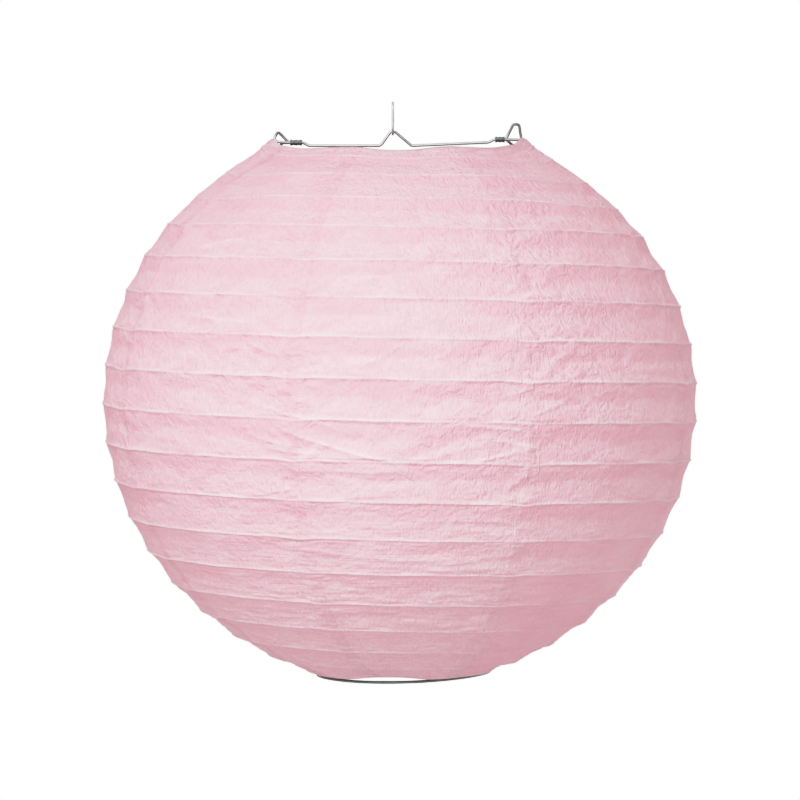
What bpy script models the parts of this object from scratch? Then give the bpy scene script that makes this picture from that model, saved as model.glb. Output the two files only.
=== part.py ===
"""A round paper lantern: eight paper gores over one spiral wire, held open by a wire expander.

Run with: blender --background --python part.py
Metres, +Z up, +Y away from the viewer. The origin is the inside top of the hanging loop, which is
where a hook or string takes the weight.

The shade follows an ellipsoid. A point on it is given by its polar angle, measured down from the
top, and its azimuth, measured from +X towards +Y. The viewer is at azimuth -90 degrees.
"""

import math

import bmesh
import bpy
from mathutils import Matrix, Vector

MM = 0.001

# The shade
SHADE_RADIUS = 125 * MM  # at the paper's widest ridge
SHADE_HALF_HEIGHT = 119.1 * MM  # of the whole ellipsoid, before its ends are cut off
TOP_ANGLE = math.radians(25.6)  # polar angle of the top ring
BOTTOM_ANGLE = math.radians(163.1)  # polar angle of the bottom ring
TOP_SINK = 2.0 * MM  # how far the top ring is pulled down below the ellipsoid
TOP_SADDLE = 3.25 * MM  # the expander's hooks lift the ring's sides and its front and back dip
TOP_PULL_ENDS = math.radians(60)  # below this polar angle the top's pull is gone
BOTTOM_SINK = 0.7 * MM
BOTTOM_TILT = 0.85 * MM  # the bottom ring hangs this much lower on the left than its middle
BOTTOM_SHIFT = 1.6 * MM  # and sits this far to the right
BOTTOM_PULL_STARTS = math.radians(130)

# The paper
GORES = 8
GORE_SPAN = math.radians(360 / GORES)
FIRST_SEAM = math.radians(24)
COLUMNS = 3  # facets across one gore
PAPER_THICK = 0.45 * MM  # a stand-in: tissue is about 0.05 mm
VALLEY = 1.3 * MM  # the paper sinks this far between two turns of the rib wire
TOP_HEM = math.radians(0.7)  # the paper ends this far short of the ring, clear of its wire
BOTTOM_HEM = math.radians(0.75)

# The spiral rib
RIB_PITCH = math.radians(7.83)  # polar angle gained in one turn
RIB_FRONT = math.radians(37.5)  # polar angle of one of its turns, at the front
RIB_TOP = math.radians(27.3)
RIB_BOTTOM = math.radians(161.2)

# Wire diameters
RIB_WIRE = 0.8 * MM
RING_WIRE = 1.4 * MM
EXPANDER_WIRE = 1.2 * MM
LOOP_WIRE = 1.0 * MM

GAP = 0.3 * MM  # between pieces that touch

# The hanging loop, an upright link across the peak of the top bar
LOOP_EYE_HEIGHT = 12.7 * MM
LOOP_EYE_WIDTH = 5 * MM
CREST_DROP = LOOP_EYE_HEIGHT - GAP - EXPANDER_WIRE / 2  # from the origin to the crest's middle

# The expander, from here on in millimetres from the shade's centre
CREST_X = -3.0
CREST_Z = 112.6
CREST_HALF = 1.0
BAR_Z = 106.8
PEAK_LEFT_FOOT = -8.1
PEAK_RIGHT_FOOT = 4.9
BAR_RIGHT_RISE = 1.4  # the bar's right end is this much higher than the rest
STRAND_STEP = 1.5  # strands lie this far apart in a ferrule, front to back

FERRULE_LEFT = (-46.1, -41.2)  # ends
FERRULE_LEFT_Z = 108.1
FERRULE_RIGHT = (40.0, 43.9)
FERRULE_RIGHT_Z = 109.4
FERRULE_WALL = 0.3
FERRULE_HOLE_HIGH = 1.8
FERRULE_HOLE_WIDE = 4.8

SHADE_AXIS_X = -CREST_X * MM
CENTRE_Z = -CREST_DROP - CREST_Z * MM

PAPER_COLOUR = (0.84, 0.53, 0.61, 1)
STEEL_COLOUR = (0.55, 0.56, 0.57, 1)
DARK_STEEL_COLOUR = (0.22, 0.22, 0.23, 1)


# Helpers


def material(name, colour, roughness, metallic):
    made = bpy.data.materials.new(name)
    made.use_nodes = True
    shader = made.node_tree.nodes["Principled BSDF"]
    shader.inputs["Base Color"].default_value = colour
    shader.inputs["Roughness"].default_value = roughness
    shader.inputs["Metallic"].default_value = metallic
    return made


def home(thing):
    """Where a thing's origin is in the shared frame."""
    if thing is None:
        return Vector()
    return thing.location + home(thing.parent)


def placed(name, data, origin, parent):
    """An object, or an empty if it has no data, with its origin here and under this parent."""
    thing = bpy.data.objects.new(name, data)
    bpy.context.collection.objects.link(thing)
    thing.parent = parent
    thing.location = origin - home(parent)
    return thing


def at(x, z, y=0.0):
    """A point given in millimetres from the shade's centre."""
    return Vector((SHADE_AXIS_X + x * MM, y * MM, CENTRE_Z + z * MM))


def rounded(corners, radii, step=math.radians(22)):
    """The path through these corners, each inner one turned into an arc of its radius."""
    path = [corners[0]]
    for before, corner, after, radius in zip(corners, corners[1:], corners[2:], radii):
        back = (before - corner).normalized()
        onward = (after - corner).normalized()
        turn = math.pi - back.angle(onward)
        room = 0.48 * min((before - corner).length, (after - corner).length)
        setback = min(radius * math.tan(turn / 2), room)
        middle = corner + (back + onward).normalized() * setback / math.sin(turn / 2)
        axis = onward.cross(back)
        arm = corner + back * setback - middle
        steps = max(1, math.ceil(turn / step))
        for i in range(steps + 1):
            path.append(middle + Matrix.Rotation(turn * i / steps, 3, axis) @ arm)
    path.append(corners[-1])
    return path


def wire(name, path, diameter, origin, parent, closed=False, roundness=2):
    """A round wire along this path."""
    curve = bpy.data.curves.new(name, "CURVE")
    curve.dimensions = "3D"
    curve.fill_mode = "FULL"
    curve.use_fill_caps = True
    curve.bevel_depth = diameter / 2
    curve.bevel_resolution = roundness
    curve.twist_mode = "MINIMUM"
    spline = curve.splines.new("POLY")
    spline.points.add(len(path) - 1)
    for spot, point in zip(spline.points, path):
        spot.co = (*(point - origin), 1)
    spline.use_cyclic_u = closed
    spline.use_smooth = True
    curve.materials.append(steel)
    return placed(name, curve, origin, parent)


def thick_sheet(name, outer, inner, faces, origin, parent):
    """A closed solid between an outer and an inner sheet with the same faces."""
    form = bmesh.new()
    outside = [form.verts.new(point - origin) for point in outer]
    inside = [form.verts.new(point - origin) for point in inner]
    twin = dict(zip(outside, inside))
    for face in faces:
        form.faces.new([outside[i] for i in face])
    rim = [edge for edge in form.edges if edge.is_boundary]
    for face in faces:
        form.faces.new([inside[i] for i in reversed(face)])
    for edge in rim:
        first, second = edge.verts
        form.faces.new([first, second, twin[second], twin[first]])
    bmesh.ops.recalc_face_normals(form, faces=form.faces)
    mesh = bpy.data.meshes.new(name)
    form.to_mesh(mesh)
    form.free()
    mesh.materials.append(paper)
    return placed(name, mesh, origin, parent)


# The shade's surface


def shade_point(polar, azimuth, lift=0.0):
    """The point of the shade at these angles, lift metres out from it."""
    radius = SHADE_RADIUS * math.sin(polar)
    height = SHADE_HALF_HEIGHT * math.cos(polar)
    outward = Vector((SHADE_HALF_HEIGHT * math.sin(polar), SHADE_RADIUS * math.cos(polar)))
    outward.normalize()
    radius += lift * outward.x
    height += lift * outward.y
    shift = 0.0
    if polar < TOP_PULL_ENDS:
        pull = ((TOP_PULL_ENDS - polar) / (TOP_PULL_ENDS - TOP_ANGLE)) ** 2
        height += pull * (TOP_SADDLE * math.cos(2 * azimuth) - TOP_SINK)
    if polar > BOTTOM_PULL_STARTS:
        pull = ((polar - BOTTOM_PULL_STARTS) / (BOTTOM_ANGLE - BOTTOM_PULL_STARTS)) ** 2
        height += pull * (BOTTOM_TILT * math.cos(azimuth) - BOTTOM_SINK)
        shift = pull * BOTTOM_SHIFT
    return Vector(
        (
            SHADE_AXIS_X + shift + radius * math.cos(azimuth),
            radius * math.sin(azimuth),
            CENTRE_Z + height,
        )
    )


def rib_polar(azimuth):
    """The rib wire's polar angle; the azimuth goes on counting past a full turn."""
    return RIB_FRONT + RIB_PITCH * (azimuth + math.pi / 2) / math.tau


# The sub-parts


def ring(name, polar, origin, parent):
    """A wire ring at this polar angle of the shade."""
    points = 48
    path = [shade_point(polar, FIRST_SEAM + math.tau * i / points) for i in range(points)]
    return wire(name, path, RING_WIRE, origin, parent, closed=True)


def rib_wire(origin, parent):
    """The spiral under the paper, with its corners on the columns of the gores."""
    column = GORE_SPAN / COLUMNS
    lift = -(PAPER_THICK + GAP + RIB_WIRE / 2)
    azimuths = [FIRST_SEAM + column * i for i in range(-GORES * COLUMNS, 18 * GORES * COLUMNS)]
    path = [
        shade_point(rib_polar(azimuth), azimuth, lift)
        for azimuth in azimuths
        if RIB_TOP < rib_polar(azimuth) < RIB_BOTTOM
    ]
    return wire("rib_wire", path, RIB_WIRE, origin, parent, roundness=1)


def paper_gore(number, origin, parent):
    """One gore: ridges over the turns of the rib wire, and a valley between each two."""
    start = FIRST_SEAM + GORE_SPAN * number
    top = TOP_ANGLE + TOP_HEM
    bottom = BOTTOM_ANGLE - BOTTOM_HEM
    half_turns = 2 * 20
    places = {}
    outer = []
    inner = []

    def corner(row, column):
        """The index of this corner of the sheet; rows past a hem share the hem's corners."""
        azimuth = start + GORE_SPAN * column / COLUMNS
        polar = rib_polar(azimuth) + RIB_PITCH * row / 2
        lift = -VALLEY if row % 2 else 0.0
        if not top < polar < bottom:
            polar = min(max(polar, top), bottom)
            lift = 0.0
        key = (column, polar)
        if key not in places:
            places[key] = len(outer)
            aside = Vector((-math.sin(azimuth), math.cos(azimuth), 0)) * GAP / 2
            seam_gap = {0: aside, COLUMNS: -aside}.get(column, Vector())
            outer.append(shade_point(polar, azimuth, lift) + seam_gap)
            inner.append(shade_point(polar, azimuth, lift - PAPER_THICK) + seam_gap)
        return places[key]

    faces = []
    for row in range(-half_turns, half_turns):
        for column in range(COLUMNS):
            loop = [
                corner(row, column),
                corner(row + 1, column),
                corner(row + 1, column + 1),
                corner(row, column + 1),
            ]
            loop = list(dict.fromkeys(loop))
            if len(loop) > 2:
                faces.append(loop)
    return thick_sheet(f"paper_gore_{number + 1}", outer, inner, faces, origin, parent)


def hanging_loop():
    """An upright link in the YZ plane, its eye's top at the origin."""
    bend = LOOP_EYE_WIDTH / 2 + LOOP_WIRE / 2
    upper = -LOOP_EYE_WIDTH / 2
    lower = LOOP_EYE_WIDTH / 2 - LOOP_EYE_HEIGHT
    steps = 8
    path = []
    for middle, first in ((upper, 0), (lower, math.pi)):
        for i in range(steps + 1):
            angle = first + math.pi * i / steps
            path.append(Vector((0, bend * math.cos(angle), middle + bend * math.sin(angle))))
    return wire("hanging_loop", path, LOOP_WIRE, Vector(), None, closed=True)


def top_bar(origin, parent):
    """The expander's upper wire, from the end inside one ferrule to the end inside the other."""
    front = -STRAND_STEP
    left_in = FERRULE_LEFT[1]
    left_out = FERRULE_LEFT[0] - 0.5
    right_in = FERRULE_RIGHT[0]
    right_out = FERRULE_RIGHT[1] + 0.5
    left_loop = [
        (at(left_out, FERRULE_LEFT_Z, front), 1.0),
        (at(-53.4, 108.5, 0.8 * front), 1.6),
        (at(-51.3, 112.8, 0.2 * front), 0.8),
        (at(left_out, FERRULE_LEFT_Z), 1.0),
    ]
    bar = [
        (at(left_in + 0.4, FERRULE_LEFT_Z), 1.0),
        (at(left_in + 3.0, BAR_Z), 2.0),
        (at(PEAK_LEFT_FOOT, BAR_Z), 2.6),
        (at(CREST_X - CREST_HALF, CREST_Z), 0.9),
        (at(CREST_X + CREST_HALF, CREST_Z), 0.9),
        (at(PEAK_RIGHT_FOOT, BAR_Z), 1.4),
        (at(right_in - 3.0, BAR_Z + BAR_RIGHT_RISE), 2.0),
        (at(right_in - 0.4, FERRULE_RIGHT_Z), 1.0),
    ]
    right_loop = [
        (at(right_out, FERRULE_RIGHT_Z), 1.0),
        (at(47.6, 115.8), 1.1),
        (at(50.0, 115.8), 1.1),
        (at(51.3, 107.4), 0.7),
        (at(51.3, 107.4, front), 0.7),
        (at(50.3, 109.2, front), 0.9),
        (at(right_out, FERRULE_RIGHT_Z, front), 1.0),
    ]
    bends = left_loop + bar + right_loop
    corners = [at(left_in, FERRULE_LEFT_Z, front)]
    corners += [corner for corner, _ in bends]
    corners.append(at(right_in, FERRULE_RIGHT_Z, front))
    path = rounded(corners, [radius * MM for _, radius in bends])
    return wire("top_bar", path, EXPANDER_WIRE, origin, parent)


def leg_frame(origin, parent):
    """The expander's lower wire: down one side, over the bottom ring and up the other side."""
    back = STRAND_STEP
    stand = (RING_WIRE + EXPANDER_WIRE) / 2 + GAP
    left_foot = shade_point(BOTTOM_ANGLE, math.pi) + Vector((0, 0, stand))
    right_foot = shade_point(BOTTOM_ANGLE, 0) + Vector((0, 0, stand))
    bends = [
        (at(-50.4, FERRULE_LEFT_Z, back), 1.6),
        (left_foot, 2.5),
        (right_foot, 2.5),
        (at(50.4, 106.5, back), 1.6),
        (at(47.2, 107.2, back), 2.0),
        (at(FERRULE_RIGHT[1] + 0.8, FERRULE_RIGHT_Z, back), 1.0),
    ]
    corners = [at(FERRULE_LEFT[1], FERRULE_LEFT_Z, back)]
    corners += [corner for corner, _ in bends]
    corners.append(at(FERRULE_RIGHT[0], FERRULE_RIGHT_Z, back))
    path = rounded(corners, [radius * MM for _, radius in bends])
    return wire("leg_frame", path, EXPANDER_WIRE, origin, parent)


def oval(width, height, x):
    """Corners of an upright oval across the X axis: a strip with round ends, in millimetres."""
    bend = height / 2
    reach = width / 2 - bend
    steps = 8
    corners = []
    for side, first in ((reach, -math.pi / 2), (-reach, math.pi / 2)):
        for i in range(steps + 1):
            angle = first + math.pi * i / steps
            corners.append(Vector((x, side + bend * math.cos(angle), bend * math.sin(angle))) * MM)
    return corners


def ferrule(name, ends, z, parent):
    """A flattened sleeve round the three strands."""
    middle = sum(ends) / 2
    origin = at(middle, z)
    form = bmesh.new()
    loops = []
    outer = (FERRULE_HOLE_WIDE + 2 * FERRULE_WALL, FERRULE_HOLE_HIGH + 2 * FERRULE_WALL)
    hole = (FERRULE_HOLE_WIDE, FERRULE_HOLE_HIGH)
    sections = ((outer, ends[0]), (outer, ends[1]), (hole, ends[1]), (hole, ends[0]))
    for (width, height), x in sections:
        loops.append([form.verts.new(point) for point in oval(width, height, x - middle)])
    for one, other in zip(loops, loops[1:] + loops[:1]):
        for i in range(len(one)):
            j = (i + 1) % len(one)
            form.faces.new([one[i], one[j], other[j], other[i]])
    bmesh.ops.recalc_face_normals(form, faces=form.faces)
    mesh = bpy.data.meshes.new(name)
    form.to_mesh(mesh)
    form.free()
    mesh.materials.append(dark_steel)
    return placed(name, mesh, origin, parent)


# The lantern

for old in list(bpy.data.objects):
    bpy.data.objects.remove(old)

paper = material("tissue_paper", PAPER_COLOUR, 0.85, 0.0)
steel = material("steel_wire", STEEL_COLOUR, 0.35, 1.0)
dark_steel = material("crimped_steel", DARK_STEEL_COLOUR, 0.45, 1.0)

crest = Vector((0, 0, -CREST_DROP))
bottom_centre = at(BOTTOM_SHIFT / MM, 0)
bottom_centre.z = shade_point(BOTTOM_ANGLE, math.pi / 2).z
top_centre = at(0, 0)
top_centre.z = shade_point(TOP_ANGLE, math.pi / 4).z

hanging_loop()

expander = placed("expander", None, crest, None)
top_bar(crest, expander)
leg_frame(crest, expander)
ferrule("ferrule_left", FERRULE_LEFT, FERRULE_LEFT_Z, expander)
ferrule("ferrule_right", FERRULE_RIGHT, FERRULE_RIGHT_Z, expander)

shade = placed("shade", None, bottom_centre, expander)
ring("bottom_ring", BOTTOM_ANGLE, bottom_centre, shade)
rib_wire(bottom_centre, shade)
for number in range(GORES):
    paper_gore(number, bottom_centre, shade)

top_hoop = placed("top_hoop", None, top_centre, shade)
ring("top_ring", TOP_ANGLE, top_centre, top_hoop)
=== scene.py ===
"""The looks of the paper lantern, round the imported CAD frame. Metres, +Z up, the row's frame.

The shade is eight sheets of crinkled tissue over a spiral wire. A place on it is given by its
polar angle, measured down from the top, and its azimuth, measured from +X towards +Y. The
shade's curve is the one that part.py gives it.
"""

import math

import bmesh
import bpy
import numpy as np
from mathutils import Matrix, Vector


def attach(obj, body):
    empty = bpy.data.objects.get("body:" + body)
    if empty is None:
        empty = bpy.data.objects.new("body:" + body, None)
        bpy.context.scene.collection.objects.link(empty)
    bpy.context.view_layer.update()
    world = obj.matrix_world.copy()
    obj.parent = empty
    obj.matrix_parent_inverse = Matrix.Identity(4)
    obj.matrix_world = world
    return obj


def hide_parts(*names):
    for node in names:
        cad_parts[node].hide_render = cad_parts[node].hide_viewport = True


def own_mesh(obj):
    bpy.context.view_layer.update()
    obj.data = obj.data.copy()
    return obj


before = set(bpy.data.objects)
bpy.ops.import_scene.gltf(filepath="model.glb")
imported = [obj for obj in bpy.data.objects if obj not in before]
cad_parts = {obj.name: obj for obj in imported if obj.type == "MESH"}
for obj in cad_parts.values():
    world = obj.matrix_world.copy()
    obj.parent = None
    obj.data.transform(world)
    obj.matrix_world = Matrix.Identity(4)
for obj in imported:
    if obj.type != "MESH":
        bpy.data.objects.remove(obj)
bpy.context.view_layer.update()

MM = 0.001
TAU = math.tau
FRONT = -math.pi / 2  # the azimuth of the viewer's side

# The shade's curve, as in part.py
SHADE_RADIUS = 125 * MM
SHADE_HALF_HEIGHT = 119.1 * MM
TOP_ANGLE = math.radians(25.6)
BOTTOM_ANGLE = math.radians(163.1)
TOP_SINK = 2.0 * MM
TOP_SADDLE = 3.25 * MM
TOP_PULL_ENDS = math.radians(60)
BOTTOM_SINK = 0.7 * MM
BOTTOM_TILT = 0.85 * MM
BOTTOM_SHIFT = 1.6 * MM
BOTTOM_PULL_STARTS = math.radians(130)
SHADE_AXIS_X = 3.0 * MM
CENTRE_Z = -124.4 * MM
TOP_DRAW = 1.05 * MM  # the top ring is this much smaller than the plain curve's
TOP_SHIFT = 0.65 * MM
SHOULDER_DROP = 1.6 * MM  # the taut paper below each hook lies this much lower

# The spiral rib
RIB_PITCH = math.radians(7.83)
RIB_FRONT = math.radians(37.5)
RIB_TOP = math.radians(27.3)
RIB_BOTTOM = math.radians(161.2)
RIB_RADIUS = 0.4 * MM
RIB_DEPTH = 0.6 * MM  # the wire's middle is this far under the paper's face

# The paper
GORES = 8
GORE_SPAN = TAU / GORES
FIRST_SEAM = math.radians(24)
COLUMNS = 144  # across one gore
ROWS_PER_BAND = 30  # between two turns of the rib
OVERLAP = 5.0 * MM  # each gore laps over the next by this much
OVERLAP_COLUMNS = 8
LAP_HEIGHT = 0.07 * MM  # the lap lies this far over the gore under it
MERIDIAN = 122 * MM  # metres of paper to one radian of polar angle
BAND = MERIDIAN * RIB_PITCH
SKIN = 0.09 * MM  # the paper's face stands this far off the top ring's wire
CROWN_ENDS = math.radians(54)
CROWN_FADE = math.radians(18)

# The wires
RING_RADIUS = 0.55 * MM
FOOT_RADIUS = 0.65 * MM
FOOT_DROOP = 0.5 * MM  # the foot ring hangs this much lower at the front
EXPANDER_RADIUS = 0.6 * MM
LOOP_RADIUS = 0.5 * MM


# Noise

HASH_COLUMN = 374761393
HASH_ROW = 668265263
HASH_SEED = 2246822519
HASH_MIX = 1274126177


def scrambled(column, row, seed):
    """A whole number for each place of a grid, without any pattern from place to place."""
    mixed = (column * HASH_COLUMN + row * HASH_ROW + seed * HASH_SEED) & 0xFFFFFFFF
    return ((mixed ^ (mixed >> 13)) * HASH_MIX) & 0x7FFFFFFF


def noise(x, y, seed, wrap=None):
    """Smooth noise from about -1 to 1, a bump to a unit; x comes round again after wrap units."""
    left = np.floor(x).astype(np.int64)
    low = np.floor(y).astype(np.int64)
    across = x - left
    up = y - low

    def slope(i, j):
        if wrap:
            i = i % wrap
        mixed = scrambled(i, j, seed)
        angle = ((mixed ^ (mixed >> 16)) & 0xFFFF) * (TAU / 65536)
        return np.cos(angle), np.sin(angle)

    def corner(i, j):
        sx, sy = slope(left + i, low + j)
        return sx * (across - i) + sy * (up - j)

    ease_x = across**3 * (across * (across * 6 - 15) + 10)
    ease_y = up**3 * (up * (up * 6 - 15) + 10)
    bottom = corner(0, 0) * (1 - ease_x) + corner(1, 0) * ease_x
    top = corner(0, 1) * (1 - ease_x) + corner(1, 1) * ease_x
    return 1.5 * (bottom * (1 - ease_y) + top * ease_y)


def round_noise(azimuth, along, size, seed, long=1.0):
    """Noise on the shade: size is a bump's width in metres and long its height over its width."""
    wrap = max(3, round(TAU * SHADE_RADIUS / size))
    return noise(azimuth / TAU * wrap, along / (size * long), seed, wrap)


def patches(azimuth, along, size, seed, middle, gain, least=0, most=1):
    """Soft patches on the shade: noise round a middle value, kept between least and most."""
    return np.clip(middle + gain * round_noise(azimuth, along, size, seed), least, most)


def ease(x):
    """0 below 0, 1 above 1 and smooth between."""
    x = np.clip(x, 0, 1)
    return x * x * (3 - 2 * x)


def below(polar, start, span):
    """0 above a polar angle and 1 from span under it; both are in radians."""
    return ease((polar - start) / span)


# The shade's surface


def shade_points(polar, azimuth, lift):
    """Points of the shade at these angles, lift metres out from it, as an array of places."""
    radius = SHADE_RADIUS * np.sin(polar)
    height = SHADE_HALF_HEIGHT * np.cos(polar)
    out = SHADE_HALF_HEIGHT * np.sin(polar)
    up = SHADE_RADIUS * np.cos(polar)
    size = np.hypot(out, up)
    radius = radius + lift * out / size
    height = height + lift * up / size
    top_pull = np.clip((TOP_PULL_ENDS - polar) / (TOP_PULL_ENDS - TOP_ANGLE), 0, None) ** 2
    radius = radius - top_pull * TOP_DRAW
    height = height + top_pull * (TOP_SADDLE * np.cos(2 * azimuth) - TOP_SINK)
    height = height + top_pull * corner_drop(azimuth)
    height = height - SHOULDER_DROP * taut_shoulder(polar, azimuth)
    reach = BOTTOM_ANGLE - BOTTOM_PULL_STARTS
    foot_pull = np.clip((polar - BOTTOM_PULL_STARTS) / reach, 0, None) ** 2
    height = height + foot_pull * (BOTTOM_TILT * np.cos(azimuth) - BOTTOM_SINK)
    x = SHADE_AXIS_X + foot_pull * BOTTOM_SHIFT - top_pull * TOP_SHIFT + radius * np.cos(azimuth)
    return np.stack([x, radius * np.sin(azimuth), CENTRE_Z + height], axis=-1)


def taut_shoulder(polar, azimuth):
    """1 where the paper is pulled tight below a hook, fading to 0 round it."""
    down = below(polar, TOP_ANGLE, math.radians(7))
    down = down * ease((math.radians(55) - polar) / math.radians(12))
    return down * ease((np.abs(np.cos(azimuth)) - 0.5) / 0.4)


def corner_drop(azimuth):
    """How much the top ring falls away from an even saddle beside each hook that holds it up."""
    from_hook = np.degrees(np.abs((azimuth + math.pi / 2) % math.pi - math.pi / 2))
    drop = -2.2 * MM * ease((from_hook - 9) / 15) * ease((66 - from_hook) / 28)
    swell = 0.7 * MM * np.exp(-(((from_hook - 72) / 9) ** 2))
    return drop + swell + 0.5 * MM * np.exp(-((from_hook / 7) ** 2))


def rib_polar(azimuth):
    """The rib wire's polar angle; the azimuth goes on counting past a full turn."""
    return RIB_FRONT + RIB_PITCH * (azimuth - FRONT) / TAU


def turns_down(polar, azimuth):
    """The rib's count of turns at a place; on the wire it is a whole number."""
    return (polar - rib_polar(azimuth)) / RIB_PITCH


def from_front(azimuth):
    """Degrees round from the viewer's side, -180 to 180, positive towards +X."""
    return np.degrees((azimuth - FRONT + math.pi) % TAU - math.pi)


def from_seam(polar, azimuth):
    """Metres round from the nearest seam, positive past it."""
    angle = (azimuth - FIRST_SEAM + GORE_SPAN / 2) % GORE_SPAN - GORE_SPAN / 2
    return angle * SHADE_RADIUS * np.sin(polar)


def facing_share(azimuth):
    """1 on the gores that face the viewer or the back, 0 on the ones at the sides."""
    return ease((np.abs(np.sin(azimuth)) - 0.45) / 0.35)


def crown_share(polar):
    """1 round the top opening, 0 below the crown."""
    return ease((CROWN_ENDS - polar) / CROWN_FADE)


def wander(polar, azimuth):
    """How far the rib strays down, as polar angle: it dips where two gores are glued."""
    along = MERIDIAN * polar
    seam = from_seam(polar, azimuth)
    stray = 0.22 * MM * round_noise(azimuth, along, 15 * MM, 11)
    stray = stray + 0.10 * MM * round_noise(azimuth, along, 5 * MM, 12)
    dip = 0.75 * MM * np.exp(-(((seam - 1.5 * MM) / (6 * MM)) ** 2))
    dip = dip * (0.7 + 0.6 * round_noise(azimuth, along, 30 * MM, 13))
    hold = below(polar, TOP_ANGLE, 0.12) * ease((BOTTOM_ANGLE - polar) / 0.12)
    return hold * (stray + dip) / MERIDIAN


def facets(azimuth, along, size, seed, wide=1.0):
    """Height of flat facets over the creases between them, from 0 to about half a facet's size.

    size is a facet's height along the gore in metres, and wide its width over its height.
    """
    wrap = max(4, round(TAU * SHADE_RADIUS / (size * wide)))
    x = azimuth / TAU * wrap
    y = along / size
    x = x + 0.35 * round_noise(azimuth, along, 0.9 * size * wide, seed + 1, 1 / wide)
    y = y + 0.35 * round_noise(azimuth, along, 1.1 * size * wide, seed + 2, 1 / wide)
    left = np.floor(x).astype(np.int64)
    low = np.floor(y).astype(np.int64)

    def middle(i, j):
        mixed = scrambled((left + i) % wrap, low + j, seed)
        mixed = mixed ^ (mixed >> 15)
        return left + i + (mixed & 1023) / 1023 - x, low + j + ((mixed >> 10) & 1023) / 1023 - y

    around = [middle(i, j) for i in (-1, 0, 1) for j in (-1, 0, 1)]
    near_x, near_y = around[0]
    near = near_x**2 + near_y**2
    for other_x, other_y in around[1:]:
        other = other_x**2 + other_y**2
        closer = other < near
        near = np.where(closer, other, near)
        near_x = np.where(closer, other_x, near_x)
        near_y = np.where(closer, other_y, near_y)
    edge = np.full(x.shape, 0.6)
    for other_x, other_y in around:
        gap_x = other_x - near_x
        gap_y = other_y - near_y
        gap = np.hypot(gap_x, gap_y)
        apart = gap_x * (near_x + other_x) + gap_y * (near_y + other_y)
        apart = apart / (2 * np.maximum(gap, 1e-6))
        edge = np.where(gap > 1e-6, np.minimum(edge, apart), edge)
    return edge * size


# Long folds, each from one place to another: its two azimuths in degrees from the front, its two
# heights in turns of the rib, how far it bows in turns, and how strong it is.
FOLDS = (
    (-24, 1, 7.08, 8.02, 0.12, 0.6),
    (-30, -19, 7.3, 7.62, 0.03, 0.45),
    (-27, -14, 7.62, 7.8, 0.03, 0.4),
    (-24, 9, 7.86, 7.9, 0.02, 0.35),
    (-22, 4, 8.2, 8.22, 0.03, 0.35),
    (13, 27, 8.0, 7.6, 0.02, 0.5),
    (11, 24, 7.12, 7.28, -0.02, 0.45),
    (14, 26, 7.38, 7.66, 0.02, 0.45),
    (-8, 1, 5.74, 5.12, 0.03, 0.35),
    (6, 10, 5.5, 5.3, 0.02, 0.3),
    (16, 25, 6.52, 6.2, 0.03, 0.4),
    (20, 25, 8.72, 8.22, 0.02, 0.45),
    (-30, -22, 5.1, 5.42, 0.02, 0.4),
    (-26, -17, 6.62, 6.94, 0.03, 0.4),
    (-29, -20, 8.88, 8.62, 0.02, 0.4),
    (-52, -30, 2.72, 2.25, -0.1, 0.4),
    (-48, -27, 4.35, 4.62, 0.06, 0.3),
    (2, 25, 9.52, 9.6, -0.06, 0.4),
    (-20, 12, 10.32, 10.62, 0.05, 0.3),
    (8, 27, 10.7, 10.38, 0.04, 0.35),
    (-24, -6, 11.3, 11.58, 0.03, 0.3),
    (4, 24, 10.86, 10.8, 0.03, 0.35),
    (-10, 14, 3.52, 3.34, -0.06, 0.3),
    (26, 36, 4.78, 5.22, 0.03, 0.35),
    (24, 33, 6.88, 6.46, 0.03, 0.4),
    (26, 35, 7.3, 7.72, 0.03, 0.35),
)


def folds(azimuth, turns):
    """The long folds' height over the paper, with masks for the painted highlight on each crest and
    the painted shade under it.
    """
    front = from_front(azimuth)
    rise = np.zeros(np.shape(azimuth))
    crest_highlight = np.zeros(np.shape(azimuth))
    fold_shade = np.zeros(np.shape(azimuth))
    for start, end, first, last, bow, height in FOLDS:
        share = np.clip((front - start) / (end - start), 0, 1)
        line = first + (last - first) * share + 4 * bow * share * (1 - share)
        away = (turns - line) * BAND
        side = np.where(away > 0, 0.8 * MM, 2.4 * MM)
        inside = (front > start) & (front < end)
        weight = inside * ease(share / 0.18) * ease((1 - share) / 0.18) * height
        rise += weight * 1.7 * MM * np.exp(-np.abs(away) / side)
        crest_highlight += weight * np.exp(-(((away + 0.3 * MM) / (0.6 * MM)) ** 2))
        fold_shade += weight * ease(away / (0.5 * MM)) * np.exp(-np.maximum(away, 0) / (2.2 * MM))
    return rise, crest_highlight, fold_shade


def roughness(polar, azimuth):
    """How crumpled the paper is: most by the seams and in patches, and less low down."""
    along = MERIDIAN * polar
    seam = np.abs(from_seam(polar, azimuth))
    patch = patches(azimuth, along, 38 * MM, 94, 0.5, 1.0)
    pulled = (0.20 - 0.08 * crown_share(polar)) * np.exp(-seam / (10 * MM))
    smoother = 1 - 0.45 * below(polar, 1.70, 0.40)
    return (0.54 + 0.34 * patch * facing_share(azimuth) + pulled) * smoother


def band_at(turn, first, last):
    """The height of the band between two turns of the rib, in turns, and the share of it here.

    turn is the rib's count of turns; first and last are its values at the two rings.
    """
    next_rib = np.floor(first + 0.2) + 1
    last_rib = np.ceil(last - 0.2) - 1
    low = np.where(turn < next_rib, first, np.floor(turn))
    high = np.where(turn < next_rib, next_rib, np.floor(turn) + 1)
    low = np.where(turn > last_rib, last_rib, low)
    high = np.where(turn > last_rib, last, high)
    band = np.maximum(high - low, 1e-3)
    return band, np.clip((turn - low) / band, 0, 1)


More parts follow.
